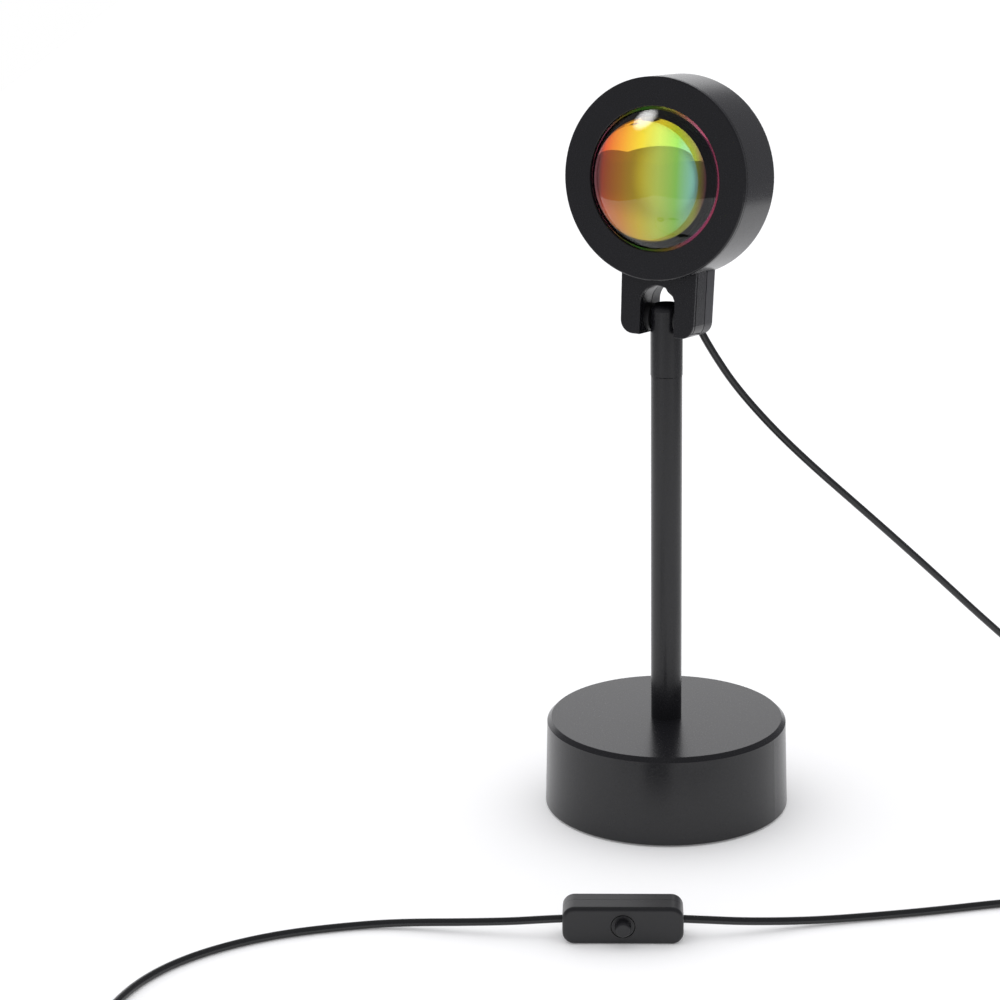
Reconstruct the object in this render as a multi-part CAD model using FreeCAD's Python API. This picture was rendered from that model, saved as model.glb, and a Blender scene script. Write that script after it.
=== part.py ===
"""Sunset projection lamp: a weighted round base, a slim two-part pole, a drum head that tilts between the
ears of a clamped bracket, a domed lens, and a thin cord with an inline push switch and a flat plug.
Millimetres, +Z up, origin on the table under the pole's axis. The lens faces -Y."""
import FreeCAD, Part
import math
import os

V = FreeCAD.Vector
X_AXIS, Y_AXIS, Z_AXIS = V(1, 0, 0), V(0, 1, 0), V(0, 0, 1)

# ---- fits -------------------------------------------------------------------------------------------
press_gap = 0.02       # radial gap of a pressed plug or pin
running_gap = 0.05     # radial gap of a pin that turns, a screw in its thread, a ring in its seat
slip_gap = 0.15        # a screw in its clearance hole, a disc in its recess
seam_gap = 0.2         # dark line between two mouldings
joint_gap = 0.45       # open joint between the layers of the cast bracket
flush = 0.05           # how far a screw's head lies under the face around it

# ---- base -------------------------------------------------------------------------------------------
base_diameter = 80.0
base_height = 30.0
base_draft = 0.8       # how far the side leans in from bottom to top
base_chamfer = 1.4
base_wall = 3.2
base_roof = 3.0
base_lift = 0.6        # the shell's rim stays this far above the table
rim_width = 2.6        # of the rim round the bottom plate
pad_thickness = 1.0
pad_inset = 0.8
plate_thickness = 1.6
weight_height = 20.0
weight_side_gap = 0.8
boss_count = 3
boss_radius = 3.2
boss_sink = 0.4        # how far a boss runs into the shell's wall
plate_screw_radius = 1.4
plate_screw_head = 2.8  # radius of the countersunk head
plate_screw_reach = 8.0  # above the bottom plate
plate_screw_room = 2.0   # left under the screw's end in its hole
rib_count = 6
rib_width = 1.6
rib_depth = 2.0        # of the ribs that stiffen the shell's wall, from the wall inwards

# ---- pole -------------------------------------------------------------------------------------------
tube_diameter = 10.0
tube_wall = 0.8
tube_length = 115.4
plug_length = 15.0
neck_diameter = 10.3
neck_height = 23.3
neck_rim = 2.0         # rounding of the neck's top edge
neck_edge = 0.25
flat_thickness = 8.6   # of the neck across its two flats
flat_height = 9.5
bolt_diameter = 6.0
bolt_head_diameter = 10.0
bolt_head_height = 5.0
bolt_reach = 12.0      # of the bolt up into the tube's lower plug
washer_diameter = 13.6
washer_thickness = 1.2
stud_diameter = 5.0
stud_reach = 11.0      # of the joining stud into each side of the joint

# ---- hinge ------------------------------------------------------------------------------------------
pivot_above_flat = 4.8  # the pin's axis above the lower end of the neck's flats
pin_diameter = 3.0
pin_length = 21.6
pin_end_gap = 0.3
washer_radius = 4.4
rest_tilt = 4.8        # degrees, lens up
bracket_width = 25.6
bracket_depth = 13.8
slot_width = 12.0
arch_above_pivot = 11.0
arch_roof = 2.1        # of the bracket between the arch and the drum
ear_below_pivot = 5.0
ear_corner = 4.3
ear_flare = 0.4        # how far an ear's outer side leans out on its way up to the drum
cover_thickness = 1.2
seam_behind_pin = 1.0  # where the bracket's two halves meet
land_inset = 0.9       # of the raised land inside each seam
clamp_screw_height = 5.5
small_screw_radius = 1.2
small_head_radius = 2.2
small_head_height = 1.8

# ---- head -------------------------------------------------------------------------------------------
drum_diameter = 63.2
drum_depth = 20.5
drum_front = 12.6      # the front face is this far before the pin's axis
drum_wall = 2.2
drum_edge = 0.6
drum_ribs = 6
drum_rib_width = 2.0
drum_rib_depth = 1.8
bezel_thickness = 1.1
bezel_edge = 0.5
skirt_length = 3.25
skirt_wall = 1.4
bezel_face_width = 9.1  # of the flat ring round the lens
lens_lip = 1.9         # how far the lens's flange reaches under the bezel
lens_flange = 2.6
lens_bulge = 9.2
gasket_thickness = 0.6
gasket_width = 2.2
light_tube_gap = 3.9   # between the light tube and the drum's wall
light_tube_wall = 1.5
light_tube_flange = 1.2
aperture_diameter = 18.0
aperture_thickness = 1.0
filter_diameter = 21.0
filter_thickness = 1.1
filter_ring_height = 0.8
collar_wall = 1.0
sink_thickness = 2.0
sink_inset = 0.5       # of the heat sink's edge inside the light tube's outer side
fin_height = 2.4
fin_count = 7
fin_width = 1.0
fin_pitch = 3.6
fin_margin = 9.0       # from the heat sink's edge to the ends of the fins
board_radius = 10.0
board_thickness = 1.6
chip_side = 7.0
chip_thickness = 0.5
phosphor_radius = 2.7
phosphor_thickness = 0.2
board_screw_offset = 7.6
sink_screw_inset = 4.5  # of the screws' circle from the heat sink's edge
sink_screw_count = 3
rear_flange_width = 2.2
rear_flange_thickness = 1.2
rear_recess = 0.4      # the rear cover lies this far inside the drum's rim
rear_rim_width = 1.3
rear_cover_thickness = 1.3
cover_skirt_height = 1.6
cover_skirt_wall = 1.5

# ---- cord -------------------------------------------------------------------------------------------
cord_diameter = 2.4
bush_diameter = 4.0
bush_flange_diameter = 6.0
bush_flange_height = 1.2
bush_below_arch = 0.6
cord_in_bush = 1.6     # how far the cord's end runs up into the bush
cord_first_run = 2.8   # from that end down to the first bend over the neck
wire_radius = 0.4
wire_spacing = 1.4
coil_gap = 0.5         # between neighbouring turns and layers
coil_inner_radius = 8.0
coil_turns_down = 4    # turns of the lower layer
coil_turns_up = 4.25   # turns of the upper layer
coil_start_angle = 200.5
coil_centre_x = -38.0
coil_centre_y = -232.0

# ---- inline switch ----------------------------------------------------------------------------------
switch_length = 35.8
switch_depth = 11.3
switch_height = 11.7
switch_corner = 3.6
switch_edge = 1.2
switch_wall = 1.3
switch_seam_behind_middle = 0.6
switch_centre = V(37.6, -99.6, 0)
switch_heading = 28.5
switch_cord_sink = 1.5  # how far the cord's end runs into the housing
button_diameter = 4.6
button_rise = 3.0      # of the button's end over the face
button_edge = 0.6
button_travel = 1.2
button_flange_radius = 2.95
button_flange_height = 0.8
collar_radius = 3.4
collar_gap = 0.25
collar_flange_radius = 4.2
collar_flange_height = 0.8
core_side = 8.8
core_behind_middle = 0.0
spring_radius = 1.75
spring_wire_radius = 0.14
spring_turns = 3

# ---- flat plug --------------------------------------------------------------------------------------
plug_body_length = 25.0
plug_body_width = 15.6
plug_body_height = 7.8
plug_corner = 2.2
plug_edge = 1.0
relief_length = 9.0
relief_radius = 2.7
relief_end_radius = 1.8
relief_grooves = 3
relief_groove_width = 1.0
relief_groove_depth = 0.5
plug_shell_length = 18.8
plug_shell_width = 12.0
plug_shell_height = 4.5
plug_shell_wall = 0.3
plug_window = 2.3
plug_window_from_end = 5.2
plug_window_spacing = 5.0
tongue_thickness = 1.9
tongue_short = 1.2     # the tongue ends this far inside the metal mouth
contact_count = 4
contact_width = 1.0
contact_pitch = 2.3
contact_thickness = 0.2

# ---- levels and radii worked out from the sizes above -----------------------------------------------
base_radius = base_diameter / 2
base_top = base_height
roof_under = base_height - base_roof
plate_bottom = pad_thickness
plate_top = plate_bottom + plate_thickness
shell_inside = base_radius - base_wall
recess_radius = base_radius - rim_width
plate_radius = recess_radius - slip_gap
boss_circle = shell_inside - boss_radius + boss_sink
weight_bottom = roof_under - weight_height

tube_radius = tube_diameter / 2
tube_bore = tube_radius - tube_wall
tube_top = base_top + tube_length
bolt_radius = bolt_diameter / 2
bolt_seat = weight_bottom + bolt_head_height + washer_thickness + 2.0
stud_radius = stud_diameter / 2
neck_radius = neck_diameter / 2
neck_top = tube_top + neck_height
flat_bottom = neck_top - flat_height
pivot = V(0, 0, flat_bottom + pivot_above_flat)
pin_radius = pin_diameter / 2

bracket_front_face = -bracket_depth / 2
bracket_rear_face = bracket_depth / 2
cover_back = bracket_front_face + cover_thickness
ear_middle = (slot_width / 2 + bracket_width / 2) / 2

drum_radius = drum_diameter / 2
drum_above_pivot = arch_above_pivot + arch_roof + drum_radius
lens_opening = drum_diameter - 2 * bezel_face_width
front_face = -drum_front
rear_face = front_face + drum_depth
bezel_back = front_face + bezel_thickness
drum_front_edge = bezel_back + seam_gap
drum_bore = drum_radius - drum_wall
skirt_radius = drum_bore - running_gap
skirt_end = bezel_back + skirt_length
lens_radius = lens_opening / 2 + lens_lip
lens_front = bezel_back + 0.1
lens_back = lens_front + lens_flange
gasket_back = lens_back + gasket_thickness
flange_back = gasket_back + light_tube_flange
light_tube_radius = drum_bore - light_tube_gap
sink_radius = light_tube_radius - sink_inset
sink_screw_radius = sink_radius - sink_screw_inset
fin_field_radius = sink_radius - fin_margin
cover_back_face = rear_face - rear_recess
cover_front_face = cover_back_face - rear_cover_thickness
rear_flange_front = cover_front_face - rear_flange_thickness
cover_radius = drum_radius - rear_rim_width - slip_gap
fin_end = cover_front_face - 0.8
sink_back = fin_end - fin_height
sink_front = sink_back - sink_thickness
board_front = sink_front - board_thickness
chip_front = board_front - chip_thickness
aperture_back = chip_front - phosphor_thickness - 0.9
aperture_front = aperture_back - aperture_thickness
filter_front = aperture_front - filter_thickness
filter_ring_front = filter_front - filter_ring_height

cord_radius = cord_diameter / 2
cord_hole_behind_pin = seam_behind_pin
coil_pitch = cord_diameter + coil_gap
coil_centre = V(coil_centre_x, coil_centre_y, 0)


# ---- helpers ----------------------------------------------------------------------------------------
def outline(corners, place):
    """Closed wire through (a, b) or (a, b, rounding) corners; place turns (a, b) into a point."""
    points = [V(corner[0], corner[1], 0) for corner in corners]
    cuts = []
    for i, corner in enumerate(corners):
        here = points[i]
        to_last = (points[i - 1] - here).normalize()
        to_next = (points[(i + 1) % len(points)] - here).normalize()
        rounding = corner[2] if len(corner) > 2 else 0
        if rounding == 0:
            cuts.append((here,))
            continue
        half = to_last.getAngle(to_next) / 2
        reach = rounding / math.tan(half)
        middle = (to_last + to_next).normalize() * (rounding / math.sin(half) - rounding)
        cuts.append((here + to_last * reach, here + middle, here + to_next * reach))
    edges = []
    for i, cut in enumerate(cuts):
        here = [place(p.x, p.y) for p in cut]
        if len(here) == 3:
            edges.append(Part.Arc(*here).toShape())
        after = place(cuts[(i + 1) % len(cuts)][0].x, cuts[(i + 1) % len(cuts)][0].y)
        edges.append(Part.LineSegment(here[-1], after).toShape())
    return Part.Wire(edges)


def turned(corners):
    """Solid of revolution about Z from (radius, height) corners."""
    face = Part.Face(outline(corners, lambda r, z: V(r, 0, z)))
    return face.revolve(V(0, 0, 0), Z_AXIS, 360)


def turned_on_optic(corners):
    """Solid of revolution about the drum's axis from (radius, depth) corners, in the head's frame."""
    face = Part.Face(outline(corners, lambda r, y: V(r, y, drum_above_pivot)))
    return face.revolve(V(0, 0, drum_above_pivot), Y_AXIS, 360)


def slab(corners, y_front, y_back):
    """An outline of (x, z) corners, extruded along Y."""
    face = Part.Face(outline(corners, lambda x, z: V(x, y_front, z)))
    return face.extrude(V(0, y_back - y_front, 0))


def rod(radius, start, end):
    """Round bar from one point to another."""
    return Part.makeCylinder(radius, (end - start).Length, start, end - start)


def block(x_low, x_high, y_low, y_high, z_low, z_high):
    """Box between two values on each axis."""
    return Part.makeBox(x_high - x_low, y_high - y_low, z_high - z_low, V(x_low, y_low, z_low))


def rounded(shape, radius, chosen):
    """The shape with the edges that chosen(edge) picks rounded off."""
    edges = [edge for edge in shape.Edges if chosen(edge)]
    return shape.makeFillet(radius, edges)


def lies_at_y(depth):
    """Picks the edges that lie wholly in the plane y = depth."""
    def chosen(edge):
        return abs(edge.BoundBox.YMin - depth) < 1e-4 and abs(edge.BoundBox.YMax - depth) < 1e-4
    return chosen


def on_circle(radius, angle):
    """Point at an angle in degrees on a circle about Z."""
    return V(radius * math.cos(math.radians(angle)), radius * math.sin(math.radians(angle)), 0)


def in_head(shape):
    """From the head's own frame, with the pin's axis at its origin, to the lamp's frame at rest."""
    shape = shape.copy()
    shape.rotate(V(0, 0, 0), X_AXIS, -rest_tilt)
    shape.translate(pivot)
    return shape


def head_point(x, y, z):
    """A point of the head's own frame in the lamp's frame at rest."""
    return FreeCAD.Rotation(X_AXIS, -rest_tilt).multVec(V(x, y, z)) + pivot


def in_switch(shape):
    """From the switch's own frame, X along the cord and the button towards -Y, to the table."""
    shape = shape.copy()
    shape.rotate(V(0, 0, 0), Z_AXIS, switch_heading)
    shape.translate(switch_centre)
    return shape


def switch_point(x, y, z):
    """A point of the switch's own frame on the table."""
    return FreeCAD.Rotation(Z_AXIS, switch_heading).multVec(V(x, y, z)) + switch_centre


def pipe(edges, radius):
    """Round tube along tangent edges."""
    wire = Part.Wire(edges)
    start = wire.Edges[0]
    first = start.FirstParameter
    ring = Part.Circle(start.valueAt(first), start.tangentAt(first), radius).toShape()
    return wire.makePipeShell([Part.Wire(ring)], True, False), wire


def tube(name, points, radius):
    """Tube along straight runs joined by tangent arcs, each arc as large as its two runs allow."""
    edges = []
    last = points[0]
    radii = []
    for before, here, after in zip(points, points[1:], points[2:]):
        to_last, to_next = before - here, after - here
        shorter = min(to_last.Length, to_next.Length)
        half_turn = (math.pi - to_last.getAngle(to_next)) / 2
        cut = 0.45 * shorter
        radii.append(cut / math.tan(half_turn))
        enter = here + to_last.normalize() * cut
        leave = here + to_next.normalize() * cut
        middle = here + (to_last + to_next).normalize() * radii[-1] * (1 / math.cos(half_turn) - 1)
        edges.append(Part.LineSegment(last, enter).toShape())
        edges.append(Part.Arc(enter, middle, leave).toShape())
        last = leave
    edges.append(Part.LineSegment(last, points[-1]).toShape())
    solid, wire = pipe(edges, radius)
    expected = math.pi * radius ** 2 * wire.Length
    print(name, "length", round(wire.Length, 1), "radii", [round(r, 1) for r in radii],
          "volume ratio", round(solid.Volume / expected, 4))
    return solid


def biarc(start, start_way, end, end_way):
    """Two tangent arcs from one point and direction to another."""
    chord = end - start
    both = start_way + end_way
    turn = 2 * (1 - start_way.dot(end_way))
    along = chord.dot(both)
    if turn < 1e-9:
        reach = chord.dot(chord) / (2 * along)
    else:
        reach = (-along + math.sqrt(along * along + turn * chord.dot(chord))) / turn
    joint = (start + start_way * reach + end - end_way * reach) * 0.5
    arcs = []
    for a, way, b in ((start, start_way, joint), (end, end_way * -1, joint)):
        across = b - a
        side = (across - way * across.dot(way))
        swing = math.atan2(side.Length, across.dot(way))
        side.normalize()
        size = across.Length / (2 * math.sin(swing))
        middle = a + way * (size * math.sin(swing)) + side * (size * (1 - math.cos(swing)))
        arcs.append(Part.Arc(a, middle, b) if a is start else Part.Arc(b, middle, a))
    return [arc.toShape() for arc in arcs]


def way_at(point, turns):
    """The direction of travel of a curve point(turns)."""
    nudge = 1e-5
    return (point(turns + nudge) - point(turns - nudge)).normalize()


def wound(name, point, total_turns, steps_per_turn, radius, lead_in, lead_out):
    """One unbroken tube along point(turns), with straight ends; prints the least gap to itself."""
    steps = round(total_turns * steps_per_turn)
    places = [i * total_turns / steps for i in range(steps + 1)]
    edges = []
    if lead_in > 0:
        edges.append(Part.LineSegment(point(0) - way_at(point, 0) * lead_in, point(0)).toShape())
    for a, b in zip(places, places[1:]):
        edges += biarc(point(a), way_at(point, a), point(b), way_at(point, b))
    if lead_out > 0:
        end = point(total_turns)
        edges.append(Part.LineSegment(end, end + way_at(point, total_turns) * lead_out).toShape())
    solid, wire = pipe(edges, radius)
    samples = round(total_turns * 48)
    trail = [point(i * total_turns / samples) for i in range(samples + 1)]
    least = min((trail[i] - trail[j]).Length for i in range(len(trail)) for j in range(i + 24, len(trail)))
    expected = math.pi * radius ** 2 * wire.Length
    print(name, "length", round(wire.Length, 1), "least gap to itself", round(least - 2 * radius, 2),
          "volume ratio", round(solid.Volume / expected, 4))
    return solid


parts = {}


# ---- base -------------------------------------------------------------------------------------------
def make_base():
    """Foot pad, bottom plate with its screws, iron weight and the chamfered shell over them."""
    lean = base_draft / (base_height - base_lift)
    chamfer_low = base_top - base_chamfer
    side_top = base_radius - lean * (chamfer_low - base_lift)
    shell = turned([
        (bolt_radius + slip_gap, roof_under), (shell_inside, roof_under, 1.0), (shell_inside, plate_top),
        (recess_radius, plate_top), (recess_radius, base_lift), (base_radius, base_lift, 0.3),
        (side_top, chamfer_low), (side_top - base_chamfer, base_top), (bolt_radius + slip_gap, base_top)])
    weight = turned([
        (bolt_radius + slip_gap, bolt_seat), (washer_diameter / 2 + slip_gap, bolt_seat),
        (washer_diameter / 2 + slip_gap, weight_bottom),
        (shell_inside - rib_depth - weight_side_gap, weight_bottom, 1.5),
        (shell_inside - rib_depth - weight_side_gap, roof_under, 0.8),
        (bolt_radius + slip_gap, roof_under)])
    plate = turned([(0, plate_bottom), (plate_radius, plate_bottom), (plate_radius, plate_top),
                    (0, plate_top)])
    screws = []
    thread = plate_screw_radius
    head = plate_screw_head
    screw_end = plate_top + plate_screw_reach
    for i in range(boss_count):
        foot = on_circle(boss_circle, 90 + i * 360 / boss_count)
        boss = rod(boss_radius, foot + V(0, 0, plate_top), foot + V(0, 0, roof_under + 0.5))
        shell = shell.fuse(boss)
        shell = shell.cut(rod(thread + running_gap, foot, foot + V(0, 0, screw_end + plate_screw_room)))
        weight = weight.cut(rod(boss_radius + weight_side_gap, foot, foot + V(0, 0, base_top)))
        screw = turned([(0, plate_bottom + flush), (head, plate_bottom + flush), (thread, plate_top - 0.1),
                        (thread, screw_end), (0, screw_end)])
        screw.translate(foot)
        screws.append(screw)
        sink = Part.makeCone(head + slip_gap, thread + slip_gap, plate_thickness,
                             foot + V(0, 0, plate_bottom))
        plate = plate.cut(sink)
    for i in range(rib_count):
        angle = 60 + i * 360 / rib_count
        rib = block(shell_inside - rib_depth, shell_inside + 0.5, -rib_width / 2, rib_width / 2,
                    plate_top + 1.0, roof_under + 0.5)
        rib.rotate(V(0, 0, 0), Z_AXIS, angle)
        if all(abs((angle - 90 - j * 360 / boss_count) % 360) > 1 for j in range(boss_count)):
            shell = shell.fuse(rib)
    parts["base_shell"] = shell.removeSplitter()
    parts["base_weight"] = weight
    parts["base_plate"] = plate
    parts["base_plate_screws"] = Part.makeCompound(screws)
    pad_radius = plate_radius - pad_inset
    parts["foot_pad"] = turned([(0, 0), (pad_radius, 0), (pad_radius, pad_thickness), (0, pad_thickness)])


# ---- pole -------------------------------------------------------------------------------------------
def make_pole():
    """Bolt and washer under the weight, tube with its threaded plugs, stud and the neck with flats."""
    head_low = bolt_seat - washer_thickness - bolt_head_height
    bolt = turned([(0, head_low), (bolt_head_diameter / 2, head_low, 0.5),
                   (bolt_head_diameter / 2, bolt_seat - washer_thickness),
                   (bolt_radius, bolt_seat - washer_thickness), (bolt_radius, base_top + bolt_reach, 0.6),
                   (0, base_top + bolt_reach)])
    key = Part.Face(Part.Wire(Part.makePolygon([on_circle(2.9, i * 60) for i in range(7)])))
    key = key.extrude(V(0, 0, bolt_head_height / 2))
    key.translate(V(0, 0, head_low))
    parts["pole_bolt"] = bolt.cut(key)
    parts["bolt_washer"] = turned([
        (bolt_radius + slip_gap, bolt_seat - washer_thickness),
        (washer_diameter / 2, bolt_seat - washer_thickness),
        (washer_diameter / 2, bolt_seat), (bolt_radius + slip_gap, bolt_seat)])
    parts["pole_tube"] = turned([(tube_bore, base_top), (tube_radius, base_top), (tube_radius, tube_top),
                                 (tube_bore, tube_top)])
    plug_radius = tube_bore - press_gap
    for name, low, hole in (("lower_tube_plug", base_top, bolt_radius),
                            ("upper_tube_plug", tube_top - plug_length, stud_radius)):
        parts[name] = turned([(hole + running_gap, low), (plug_radius, low, 0.3),
                              (plug_radius, low + plug_length, 0.3), (hole + running_gap, low + plug_length)])
    parts["joining_stud"] = turned([
        (0, tube_top - stud_reach), (stud_radius, tube_top - stud_reach, 0.4),
        (stud_radius, tube_top + stud_reach, 0.4), (0, tube_top + stud_reach)])
    neck = turned([(0, tube_top), (neck_radius - neck_edge, tube_top),
                   (neck_radius, tube_top + neck_edge), (neck_radius, neck_top, neck_rim), (0, neck_top)])
    neck = neck.cut(rod(stud_radius + running_gap, V(0, 0, tube_top), V(0, 0, tube_top + stud_reach + 1)))
    neck = neck.cut(rod(pin_radius + press_gap, pivot - X_AXIS * neck_radius, pivot + X_AXIS * neck_radius))
    for side in (-1, 1):
        chip = block(flat_thickness / 2, neck_diameter, -neck_diameter, neck_diameter,
                     flat_bottom, neck_top + 1)
        if side < 0:
            chip = chip.mirror(V(0, 0, 0), X_AXIS)
        neck = neck.cut(chip)
    parts["neck"] = neck


# ---- hinge ------------------------------------------------------------------------------------------
def bracket_slab(y_front, y_back, inset=0.0):
    """U-shaped slice of the bracket: two rounded ears joined over the arch."""
    half = bracket_width / 2 - inset
    wide = half + ear_flare
    low = inset - ear_below_pivot
    slice_ = slab([(-half, low, ear_corner - inset), (half, low, ear_corner - inset),
                   (wide, drum_above_pivot / 2), (-wide, drum_above_pivot / 2)], y_front, y_back)
    gap = slot_width / 2 + inset
    spring = arch_above_pivot - slot_width / 2
    slice_ = slice_.cut(block(-gap, gap, y_front, y_back, -2 * ear_below_pivot, spring))
    return slice_.cut(rod(gap, V(0, y_front, spring), V(0, y_back, spring)))


def under_drum(shape):
    """The shape cut to lie against the drum's round side."""
    room = rod(drum_radius + running_gap, V(0, front_face, drum_above_pivot),
               V(0, rear_face + 5, drum_above_pivot))
    return shape.cut(room)


def make_hinge():
    """Pin and washers on the neck, and the bracket's three layers that close round the pin."""
    pin = rod(pin_radius, V(-pin_length / 2, 0, 0), V(pin_length / 2, 0, 0))
    pin.translate(pivot)
    parts["hinge_pin"] = pin
    washers = []
    inner, outer = flat_thickness / 2, slot_width / 2 - running_gap
    for low, high in ((-outer, -inner), (inner, outer)):
        ring = rod(washer_radius, V(low, 0, 0), V(high, 0, 0))
        ring = ring.cut(rod(pin_radius + running_gap, V(low, 0, 0), V(high, 0, 0)))
        ring.translate(pivot)
        washers.append(ring)
    parts["friction_washers"] = Part.makeCompound(washers)

    front_low = cover_back + joint_gap
    seam = seam_behind_pin
    rear_low = seam + joint_gap / 2
    front = bracket_slab(front_low, seam - joint_gap / 2)
    front = front.fuse(bracket_slab(cover_back, front_low, land_inset))
    front = front.fuse(bracket_slab(seam - joint_gap / 2, rear_low, land_inset))
    rear = rounded(bracket_slab(rear_low, bracket_rear_face), 0.5, lies_at_y(bracket_rear_face))
    cover = rounded(bracket_slab(bracket_front_face, cover_back), 0.3, lies_at_y(bracket_front_face))

    seat = pin_radius + running_gap
    reach = pin_length / 2 + pin_end_gap
    bore = rod(seat, V(-reach, 0, 0), V(reach, 0, 0))
    front = front.cut(bore).cut(block(-reach, reach, 0, rear_low, -seat, seat))
    rear = rear.cut(bore)

    screws = []
    head_end = cover_back + flush + small_head_height
    thread_end = bracket_rear_face - 2.2
    for x in (-ear_middle, ear_middle):
        centre = V(x, 0, clamp_screw_height)
        screw = rod(small_head_radius, centre + Y_AXIS * (cover_back + flush), centre + Y_AXIS * head_end)
        screw = screw.fuse(rod(small_screw_radius, centre + Y_AXIS * head_end, centre + Y_AXIS * thread_end))
        screws.append(screw)
        front = front.cut(rod(small_head_radius + slip_gap, centre + Y_AXIS * cover_back,
                              centre + Y_AXIS * head_end))
        front = front.cut(rod(small_screw_radius + slip_gap, centre + Y_AXIS * cover_back,
                              centre + Y_AXIS * rear_low))
        rear = rear.cut(rod(small_screw_radius + running_gap, centre + Y_AXIS * rear_low,
                            centre + Y_AXIS * (thread_end + 0.4)))
    for x, y in bracket_screw_places():
        low = V(x, y, bracket_screw_low - 0.4)
        front = front.cut(rod(small_screw_radius + running_gap, low, V(x, y, drum_above_pivot)))
    bush_hole = rod(bush_diameter / 2 + running_gap, V(0, cord_hole_behind_pin, 0),
                    V(0, cord_hole_behind_pin, drum_above_pivot))
    parts["bracket_cover"] = in_head(under_drum(cover))
    parts["bracket_front"] = in_head(under_drum(front.cut(bush_hole)))
    parts["bracket_rear"] = in_head(under_drum(rear.cut(bush_hole)))
    parts["clamp_screws"] = in_head(Part.makeCompound(screws))


# ---- head -------------------------------------------------------------------------------------------
bracket_screw_low = clamp_screw_height + 3.1
drum_floor_at_ear = drum_above_pivot - math.sqrt(drum_bore ** 2 - ear_middle ** 2)
screw_head_edge = ear_middle + small_head_radius
bracket_screw_seat = drum_above_pivot - math.sqrt(drum_bore ** 2 - screw_head_edge ** 2) + flush
bush_bottom = arch_above_pivot - bush_below_arch
bush_seat = drum_above_pivot - math.sqrt(drum_bore ** 2 - (bush_flange_diameter / 2) ** 2) + flush
bush_top = bush_seat + bush_flange_height


def bracket_screw_places():
    """Where the screws go down from the drum into the bracket's front half."""
    y = (cover_back + seam_behind_pin) / 2
    return [(-ear_middle, y), (ear_middle, y)]


def make_drum():
    """Drum shell with its ribs, screw pads and rear flange, the front bezel and the rear cover."""
    rim = drum_radius - rear_rim_width
    flange = drum_bore - rear_flange_width
    drum = turned_on_optic([
        (drum_bore, drum_front_edge), (drum_radius, drum_front_edge, 0.25),
        (drum_radius, rear_face, drum_edge), (rim, rear_face), (rim, cover_front_face),
        (flange, cover_front_face), (flange, rear_flange_front), (drum_bore, rear_flange_front)])
    for i in range(drum_ribs):
        rib = block(drum_bore - drum_rib_depth, drum_bore + 0.5, flange_back, rear_flange_front + 0.5,
                    -drum_rib_width / 2, drum_rib_width / 2)
        rib.rotate(V(0, 0, 0), Y_AXIS, i * 360 / drum_ribs)
        rib.translate(V(0, 0, drum_above_pivot))
        drum = drum.fuse(rib)
    screws = []
    for x, y in bracket_screw_places():
        seat = V(x, y, bracket_screw_seat)
        pad = rod(small_head_radius + 0.5, V(x, y, drum_floor_at_ear - 1.2), seat)
        drum = drum.fuse(pad).cut(rod(small_screw_radius + slip_gap, V(x, y, 0), seat))
        screw = rod(small_head_radius, seat, seat + Z_AXIS * small_head_height)
        screws.append(screw.fuse(rod(small_screw_radius, V(x, y, bracket_screw_low), seat)))
    hole = V(0, cord_hole_behind_pin, 0)
    drum = drum.cut(rod(bush_diameter / 2 + running_gap, hole, hole + Z_AXIS * drum_above_pivot / 2))
    parts["drum_shell"] = in_head(drum.removeSplitter())
    parts["bracket_screws"] = in_head(Part.makeCompound(screws))

    opening = lens_opening / 2
    ring_inside = lens_radius + running_gap
    parts["front_bezel"] = in_head(turned_on_optic([
        (opening, front_face, 0.3), (drum_radius, front_face, bezel_edge), (drum_radius, bezel_back),
        (skirt_radius, bezel_back), (skirt_radius, skirt_end), (skirt_radius - skirt_wall, skirt_end),
        (skirt_radius - skirt_wall, lens_front), (ring_inside + 1.0, lens_front),
        (ring_inside + 1.0, lens_back - 0.2), (ring_inside, lens_back - 0.2), (ring_inside, lens_front),
        (opening, lens_front)]))

    cover = turned_on_optic([(0, cover_front_face), (cover_radius, cover_front_face),
                             (cover_radius, cover_back_face, 0.4), (0, cover_back_face)])
    skirt_out = flange - running_gap
    cover = cover.fuse(turned_on_optic([
        (skirt_out - cover_skirt_wall, cover_front_face), (skirt_out, cover_front_face),
        (skirt_out, cover_front_face - cover_skirt_height),
        (skirt_out - cover_skirt_wall, cover_front_face - cover_skirt_height)]))
    for x, z in sink_screw_places():
        post = rod(2.4, V(x, sink_back, z), V(x, cover_front_face + 0.3, z))
        cover = cover.fuse(post).cut(rod(0.95 + running_gap, V(x, sink_back, z),
                                         V(x, cover_front_face, z)))
    parts["rear_cover"] = in_head(cover.removeSplitter())


def sink_screw_places():
    """Where the heat sink is screwed to the rear cover's posts, as (x, z) in the head's frame."""
    places = []
    for i in range(sink_screw_count):
        point = on_circle(sink_screw_radius, 90 + i * 360 / sink_screw_count)
        places.append((point.x, point.y + drum_above_pivot))
    return places


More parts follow.
